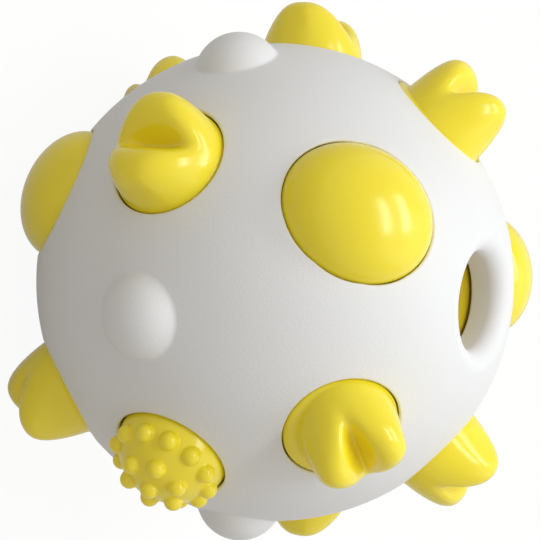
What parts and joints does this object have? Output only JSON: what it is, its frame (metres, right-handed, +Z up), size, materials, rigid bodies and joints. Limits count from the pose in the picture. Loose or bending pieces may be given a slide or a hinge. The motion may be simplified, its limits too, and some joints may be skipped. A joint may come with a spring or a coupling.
{
  "type": "dog chew ball",
  "caption": "Round dog chew ball: thick white shell with moulded bumps and open end holes for treats, and soft yellow press-in knobs in dome, forked and studded shapes.",
  "frame": {"origin": "the middle of the white ball", "axes": "+Z runs up through the open end holes, +X passes through a bump on the belt, +Y completes a right-handed frame"},
  "size_m": [0.0905, 0.0934, 0.077],
  "materials": {
    "shell_white": "fine sand texture, matt",
    "knob_yellow": "smooth, half gloss",
    "inner_yellow": "smooth, matt"
  },
  "bodies": {
    "ball": {"shell_half_upper": "shell_white", "shell_half_lower": "shell_white", "inner_ball": "inner_yellow"},
    "fork_knob_upper_1": {"fork_knob_upper_1": "knob_yellow"},
    "fork_knob_upper_2": {"fork_knob_upper_2": "knob_yellow"},
    "dome_knob_upper_3": {"dome_knob_upper_3": "knob_yellow"},
    "fork_knob_upper_4": {"fork_knob_upper_4": "knob_yellow"},
    "dome_knob_upper_5": {"dome_knob_upper_5": "knob_yellow"},
    "stud_knob_belt_1": {"stud_knob_belt_1": "knob_yellow"},
    "fork_knob_belt_2": {"fork_knob_belt_2": "knob_yellow"},
    "stud_knob_belt_3": {"stud_knob_belt_3": "knob_yellow"},
    "fork_knob_belt_4": {"fork_knob_belt_4": "knob_yellow"},
    "fork_knob_belt_5": {"fork_knob_belt_5": "knob_yellow"},
    "fork_knob_lower_1": {"fork_knob_lower_1": "knob_yellow"},
    "fork_knob_lower_2": {"fork_knob_lower_2": "knob_yellow"},
    "dome_knob_lower_3": {"dome_knob_lower_3": "knob_yellow"},
    "fork_knob_lower_4": {"fork_knob_lower_4": "knob_yellow"},
    "dome_knob_lower_5": {"dome_knob_lower_5": "knob_yellow"}
  },
  "joints": [
    {"name": "fork_knob_upper_1_press", "type": "slide", "parent": "ball", "child": "fork_knob_upper_1", "axis": [-0.604, -0.4389, -0.6652], "range_m": [0, 0.002], "stiffness_N_per_m": 5000, "deforming": ["inner_ball"]},
    {"name": "fork_knob_upper_2_press", "type": "slide", "parent": "ball", "child": "fork_knob_upper_2", "axis": [0.2307, -0.7101, -0.6652], "range_m": [0, 0.002], "stiffness_N_per_m": 5000, "deforming": ["inner_ball"]},
    {"name": "dome_knob_upper_3_press", "type": "slide", "parent": "ball", "child": "dome_knob_upper_3", "axis": [0.6959, 0, -0.7181], "range_m": [0, 0.002], "stiffness_N_per_m": 5000, "deforming": ["inner_ball"]},
    {"name": "fork_knob_upper_4_press", "type": "slide", "parent": "ball", "child": "fork_knob_upper_4", "axis": [0.2307, 0.7101, -0.6652], "range_m": [0, 0.002], "stiffness_N_per_m": 5000, "deforming": ["inner_ball"]},
    {"name": "dome_knob_upper_5_press", "type": "slide", "parent": "ball", "child": "dome_knob_upper_5", "axis": [-0.563, 0.409, -0.7181], "range_m": [0, 0.002], "stiffness_N_per_m": 5000, "deforming": ["inner_ball"]},
    {"name": "stud_knob_belt_1_press", "type": "slide", "parent": "ball", "child": "stud_knob_belt_1", "axis": [-0.809, -0.5878, 0], "range_m": [0, 0.002], "stiffness_N_per_m": 5000, "deforming": ["inner_ball"]},
    {"name": "fork_knob_belt_2_press", "type": "slide", "parent": "ball", "child": "fork_knob_belt_2", "axis": [0.309, -0.9511, 0], "range_m": [0, 0.002], "stiffness_N_per_m": 5000, "deforming": ["inner_ball"]},
    {"name": "stud_knob_belt_3_press", "type": "slide", "parent": "ball", "child": "stud_knob_belt_3", "axis": [1, 0, 0], "range_m": [0, 0.002], "stiffness_N_per_m": 5000, "deforming": ["inner_ball"]},
    {"name": "fork_knob_belt_4_press", "type": "slide", "parent": "ball", "child": "fork_knob_belt_4", "axis": [0.309, 0.9511, 0], "range_m": [0, 0.002], "stiffness_N_per_m": 5000, "deforming": ["inner_ball"]},
    {"name": "fork_knob_belt_5_press", "type": "slide", "parent": "ball", "child": "fork_knob_belt_5", "axis": [-0.809, 0.5878, 0], "range_m": [0, 0.002], "stiffness_N_per_m": 5000, "deforming": ["inner_ball"]},
    {"name": "fork_knob_lower_1_press", "type": "slide", "parent": "ball", "child": "fork_knob_lower_1", "axis": [-0.604, -0.4389, 0.6652], "range_m": [0, 0.002], "stiffness_N_per_m": 5000, "deforming": ["inner_ball"]},
    {"name": "fork_knob_lower_2_press", "type": "slide", "parent": "ball", "child": "fork_knob_lower_2", "axis": [0.2307, -0.7101, 0.6652], "range_m": [0, 0.002], "stiffness_N_per_m": 5000, "deforming": ["inner_ball"]},
    {"name": "dome_knob_lower_3_press", "type": "slide", "parent": "ball", "child": "dome_knob_lower_3", "axis": [0.6959, 0, 0.7181], "range_m": [0, 0.002], "stiffness_N_per_m": 5000, "deforming": ["inner_ball"]},
    {"name": "fork_knob_lower_4_press", "type": "slide", "parent": "ball", "child": "fork_knob_lower_4", "axis": [0.2307, 0.7101, 0.6652], "range_m": [0, 0.002], "stiffness_N_per_m": 5000, "deforming": ["inner_ball"]},
    {"name": "dome_knob_lower_5_press", "type": "slide", "parent": "ball", "child": "dome_knob_lower_5", "axis": [-0.563, 0.409, 0.7181], "range_m": [0, 0.002], "stiffness_N_per_m": 5000, "deforming": ["inner_ball"]}
  ]
}
